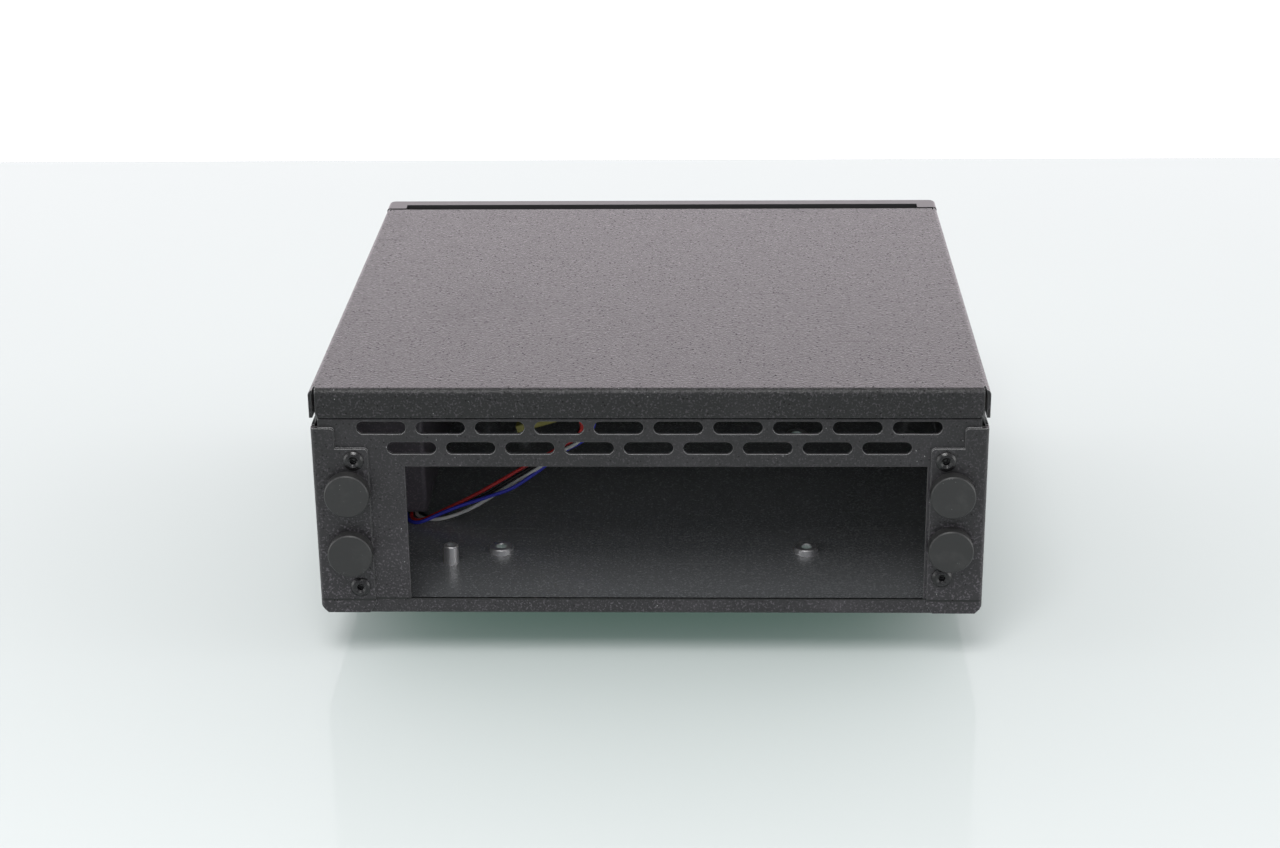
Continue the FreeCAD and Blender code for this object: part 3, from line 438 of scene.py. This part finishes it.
finishes = {
    "tray_paint": powderCoat(
        "trayPaint", {"base": 0.016, "lift": 0.080},
        inside=trayInside, floor=insideFloor, sill=apertureSill,
    ),
    "cover_paint": powderCoat(
        "coverPaint",
        {"base": 0.001, "lift": 0.060, "paintedTopShade": 0.45, "markScale": 16,
         "grainStrength": 0.95, "grainDepth": 0.00036},
        inside=coverInside,
    ),
    "bracket_paint": powderCoat(
        "bracketPaint", {"grainDepth": 0.00006, "base": 0.12, "lift": 0.20, "paintedTopShade": 0.1}
    ),
    "rivet_paint": powderCoat(
        "rivetPaint",
        {"base": 0.006, "lift": 0.014, "roughLow": 0.14, "roughHigh": 0.22, "grainStrength": 0.2,
         "mottleRough": 0.08, "pitRough": 0.1, "paintedHighlightLevel": 0.10},
    ),
    "screw_black": metal("blackScrew", (0.06, 0.06, 0.062), 0.34, tarnish=0.2),
    "plug_rubber": rubber("plugRubber"),
    "foot_rubber": rubber("footRubber", {"level": 0.02, "roughLow": 0.55, "scuffs": 0.8}),
    "bezel_plastic": plastic("bezelPlastic", (0.022, 0.022, 0.023), 0.36, 2400, 0.00003),
    "button_plastic": plastic("buttonPlastic", (0.03, 0.03, 0.031), 0.22, 3000, 0.00001),
    "plunger_plastic": plastic("plungerPlastic", (0.10, 0.10, 0.10), 0.4),
    "holder_plastic": plastic("holderPlastic", (0.03, 0.03, 0.03), 0.35),
    "connector_plastic": plastic("connectorPlastic", (0.42, 0.38, 0.10), 0.38),
    "pipe_plastic": clearMoulding("pipeMoulding", (0.86, 0.9, 0.92)),
    "lamp_lens": clearMoulding("lampLens", (0.82, 0.88, 0.96)),
    "standoff_steel": metal("zincPlate", (0.95, 0.94, 0.95), 0.36, tarnish=0.15),
    "nut_steel": metal("nickelNut", (0.78, 0.76, 0.72), 0.2),
    "switch_metal": metal("switchNickel", (0.66, 0.66, 0.65), 0.28),
    "screw_steel": metal("zincScrew", (0.66, 0.67, 0.69), 0.26),
    "lead_red": plastic("redInsulation", (0.80, 0.045, 0.04), 0.32, 900),
    "lead_black": plastic("blackInsulation", (0.02, 0.02, 0.022), 0.3, 900),
    "lead_white": plastic("whiteInsulation", (0.90, 0.90, 0.88), 0.34, 900),
    "lead_blue": plastic("blueInsulation", (0.06, 0.07, 0.70), 0.32, 900),
}

for row in frame["record"]["subparts"]:
    for materialSlot in nodes[row["node"]].material_slots:
        materialSlot.material = finishes[row["material_slot"]]
print("finishes made")

# front moulding: its corners are tighter and its rear notch longer than the solid's
bezelSettings = {
    "solidCorner": 0.006, "corner": 0.0024,
    "solidNotch": 0.0085, "notch": 0.0072, "notchDepth": 0.004,
    "near": 0.00001,
}


def makeBezel(s):
    solid = nodes["front_bezel"]
    bezel = bpy.data.objects.new("front_moulding", solid.data.copy())
    bpy.context.collection.objects.link(bezel)
    half, face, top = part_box("front_bezel")[1]
    for vertex in bezel.data.vertices:
        side = math.copysign(1, vertex.co.x)
        across, along = abs(vertex.co.x), vertex.co.y
        atNotchEnd = abs(across - (half - s["solidNotch"])) < s["near"]
        if atNotchEnd and vertex.co.z > top - s["notchDepth"]:
            across += s["solidNotch"] - s["notch"]
        outward = across - (half - s["solidCorner"])
        onward = along - (face - s["solidCorner"])
        if outward > -s["near"] and onward > -s["near"]:
            reach = math.hypot(outward, onward)
            scale = (reach - s["solidCorner"] + s["corner"]) / reach
            across = half - s["corner"] + outward * scale
            along = face - s["corner"] + onward * scale
        vertex.co.x, vertex.co.y = side * across, along
    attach(bezel, "chassis")
    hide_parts("front_bezel")


makeBezel(bezelSettings)
print("front moulding made")

# leads from the front panel; red and black keep the solids' points, white and blue cross
# over each other on their way up to the slots
leadSettings = {
    "radius": 0.0006,
    "lastRun": 0.006,
    "pitch": 0.00254,
    "aroundSteps": 5,
    "alongSteps": 10,
    "lengths": {"lead_red": 0.2088, "lead_black": 0.2017, "lead_white": 0.2061, "lead_blue": 0.2125},
}
connectors = {
    "switch_connector": (at(-33.2, 79.4, 35.0), Vector((-0.95, 0.05, -0.30)).normalized()),
    "lamp_connector": (at(-29.4, 82.3, 38.9), Vector((-0.97, 0.05, -0.22)).normalized()),
}
leadPoints = {
    "lead_red": [
        (-90.2, 168.6, 44.0), (-91.2, 160.4, 40.2), (-92.8, 153.6, 32.4), (-94.1, 148.2, 22.0),
        (-95.0, 142.4, 11.8), (-95.3, 134.0, 4.2), (-95.4, 122.0, 1.7), (-95.0, 109.0, 1.7),
        (-91.9, 94.2, 1.7), (-85.9, 83.4, 1.7), (-83.2, 76.4, 1.7), (-82.9, 69.6, 1.7),
        (-79.4, 66.2, 2.1), (-74.2, 67.8, 3.9), (-69.1, 70.6, 5.6), (-61.7, 72.0, 8.8),
        (-53.9, 73.6, 12.9), (-44.1, 75.6, 18.2), (-37.2, 76.9, 21.6), (-31.2, 77.7, 24.9),
        (-26.4, 77.9, 27.2), (-24.0, 78.1, 32.4),
    ],
    "lead_black": [
        (-85.8, 168.4, 44.0), (-86.8, 160.2, 40.0), (-88.6, 153.0, 31.6), (-90.4, 146.6, 21.0),
        (-91.7, 140.6, 10.8), (-92.2, 132.2, 3.9), (-92.2, 120.5, 1.7), (-91.8, 109.0, 1.7),
        (-88.2, 95.4, 1.7), (-82.6, 84.6, 1.7), (-80.1, 77.4, 1.7), (-79.5, 72.4, 1.7),
        (-76.2, 70.2, 1.8), (-71.8, 71.4, 2.8), (-65.4, 72.6, 5.2), (-57.3, 73.6, 8.6),
        (-48.2, 75.0, 14.2), (-42.7, 76.3, 17.0), (-37.2, 77.9, 20.0), (-31.8, 79.4, 23.4),
        (-26.6, 80.3, 27.2), (-24.0, 80.5, 32.4),
    ],
    "lead_white": [
        (-86.73, 172.6, 26.0), (-87.8, 164.6, 22.6), (-90.0, 157.0, 15.6), (-92.2, 149.6, 7.8),
        (-93.5, 140.0, 2.9), (-93.8, 127.5, 1.7), (-93.4, 109.6, 1.7), (-90.0, 94.8, 1.7),
        (-84.2, 84.0, 1.7), (-81.7, 77.0, 1.7), (-81.2, 72.0, 1.7), (-78.0, 69.0, 1.7),
        (-72.9, 68.5, 1.7), (-68.5, 69.3, 2.7), (-62.8, 69.4, 5.0), (-57.2, 70.6, 8.0),
        (-51.6, 71.8, 11.2), (-46.2, 72.4, 14.5), (-40.8, 72.0, 18.0), (-36.2, 72.6, 21.2),
        (-31.0, 74.6, 24.6), (-26.6, 76.2, 26.0), (-22.8, 79.4, 29.2), (-21.2, 81.6, 33.2),
        (-20.9, 82.8, 37.0),
    ],
    "lead_blue": [
        (-89.27, 172.4, 26.0), (-90.6, 164.2, 22.4), (-93.2, 156.8, 15.2), (-95.6, 149.6, 7.4),
        (-96.8, 140.2, 2.7), (-97.0, 127.5, 1.7), (-96.6, 109.0, 1.7), (-93.6, 93.8, 1.7),
        (-87.6, 82.8, 1.7), (-84.8, 75.6, 1.7), (-84.0, 68.0, 1.7), (-79.8, 64.4, 1.9),
        (-73.0, 66.2, 4.6), (-66.0, 67.9, 7.0), (-57.1, 68.6, 9.7), (-48.1, 69.2, 12.7),
        (-42.6, 70.8, 16.0), (-37.0, 73.4, 19.3), (-31.6, 76.8, 23.0), (-26.6, 78.0, 25.2),
        (-22.2, 78.0, 27.8), (-20.4, 78.6, 31.8), (-20.3, 79.8, 36.0),
    ],
}
terminalPitch = {"power_switch": 0.0022, "power_lamp": 0.00127}
leadEnds = {  # carrier, side of its terminal, connector, side of its socket
    "lead_red": ("power_switch", -1, "switch_connector", -1),
    "lead_black": ("power_switch", 1, "switch_connector", 1),
    "lead_white": ("power_lamp", 1, "lamp_connector", 1),
    "lead_blue": ("power_lamp", -1, "lamp_connector", -1),
}


def terminalPoint(carrier, side):
    low, high = (Vector(corner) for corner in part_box(carrier))
    middle = (low + high) / 2
    return Vector((middle.x + side * terminalPitch[carrier], low.y, middle.z))


def makeLead(name, s):
    carrier, side, connector, socketSide = leadEnds[name]
    entry, direction = connectors[connector]
    across = direction.cross(Vector((0, 0, 1))).normalized()
    into = entry + across * (socketSide * s["pitch"] / 2)
    start = terminalPoint(carrier, side)
    route = [start] + [at(*point) for point in leadPoints[name]]
    route += [into - direction * s["lastRun"], into]
    curve = bpy.data.curves.new(name + "_wire", "CURVE")
    curve.dimensions = "3D"
    curve.bevel_depth = s["radius"]
    curve.bevel_resolution = s["aroundSteps"]
    curve.resolution_u = s["alongSteps"]
    curve.use_fill_caps = True
    spline = curve.splines.new("NURBS")
    spline.points.add(len(route) - 1)
    for point, place in zip(spline.points, route):
        point.co = (*place, 1)
    spline.order_u = 3
    spline.use_endpoint_u = True
    wire = bpy.data.objects.new(name + "_wire", curve)
    bpy.context.collection.objects.link(wire)
    curve.materials.append(finishes[name])
    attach(wire, "chassis")
    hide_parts(name)


for name in leadPoints:
    makeLead(name, leadSettings)
print("leads laid")

# table top, a little green as glass is: it glows a faint even green, painted light that lightens and
# tints the shadow under the body
tableSettings = {
    "far": 0.49, "side": 2.2, "near": -1.6,
    "colour": (0.520, 0.530, 0.535), "tint": (0.045, 0.088, 0.070, 1),
    "roughness": 0.05, "specular": 0.04,
    "toneScale": 6, "toneLevel": 0.985, "toneRough": 0.04,
}


def makeTable(s):
    side, near, far = s["side"], s["near"], s["far"]
    corners = [(-side, near, 0), (side, near, 0), (side, far, 0), (-side, far, 0)]
    data = bpy.data.meshes.new("tableTop")
    data.from_pydata(corners, [], [range(len(corners))])
    table = bpy.data.objects.new("tableTop", data)
    bpy.context.collection.objects.link(table)
    # the Emission Color is painted light: a faint green glow over the whole table top
    finish = Finish("tableTop", **{
        "Specular IOR Level": s["specular"], "Emission Color": s["tint"], "Emission Strength": 1.0,
    })
    tone = finish.noise(s["toneScale"])
    pale = tuple(c * s["toneLevel"] for c in s["colour"])
    shade = finish.mix(tone, (*s["colour"], 1), (*pale, 1))
    finish.feed(colour=shade, roughness=tone * s["toneRough"] + s["roughness"])
    data.materials.append(finish.material)


makeTable(tableSettings)

# sky: bright behind the object and at its sides, dimmer before and above it
skySettings = {
    "behind": (2.36, 2.17, 2.29, 1), "before": (0.58, 0.60, 0.63, 1), "turnBand": (-0.35, 0.45),
    "above": (0.62, 0.62, 0.62, 1), "aboveBand": (0.50, 0.80),
    "left": (2.8, 2.8, 2.8, 1), "right": (3.4, 3.4, 3.4, 1), "sideBand": (0.70, 0.95),
}


def makeSky(s):
    world = bpy.data.worlds.new("studio")
    bpy.context.scene.world = world
    world.use_nodes = True
    sky = NodeTree(world.node_tree)
    sideways, away, up = sky.split(sky.node("ShaderNodeTexCoord", {}, {}).outputs["Generated"])
    around = sky.mix(away.band(*s["turnBand"]), s["before"], s["behind"])
    whole = sky.mix(up.band(*s["aboveBand"]), around, s["above"])
    whole = sky.mix((0 - sideways).band(*s["sideBand"]), whole, s["left"])
    whole = sky.mix(sideways.band(*s["sideBand"]), whole, s["right"])
    backdrop = sky.node("ShaderNodeBackground", {}, {"Color": whole})
    sky.node("ShaderNodeOutputWorld", {}, {"Surface": backdrop.outputs[0]})


bpy.context.scene.view_settings.view_transform = "Standard"
makeSky(skySettings)

softboxSettings = {"place": (-0.12, -0.75, 1.1), "aim": (0, -0.1, 0.04), "size": 0.55, "power": 9.5}


def makeSoftbox(s):
    data = bpy.data.lights.new("softbox", "AREA")
    data.size = s["size"]
    data.energy = s["power"]
    light = bpy.data.objects.new("softbox", data)
    bpy.context.collection.objects.link(light)
    place = Vector(s["place"])
    aim = (Vector(s["aim"]) - place).to_track_quat("-Z", "Y")
    light.matrix_world = Matrix.Translation(place) @ aim.to_matrix().to_4x4()


makeSoftbox(softboxSettings)
print("stage lit")
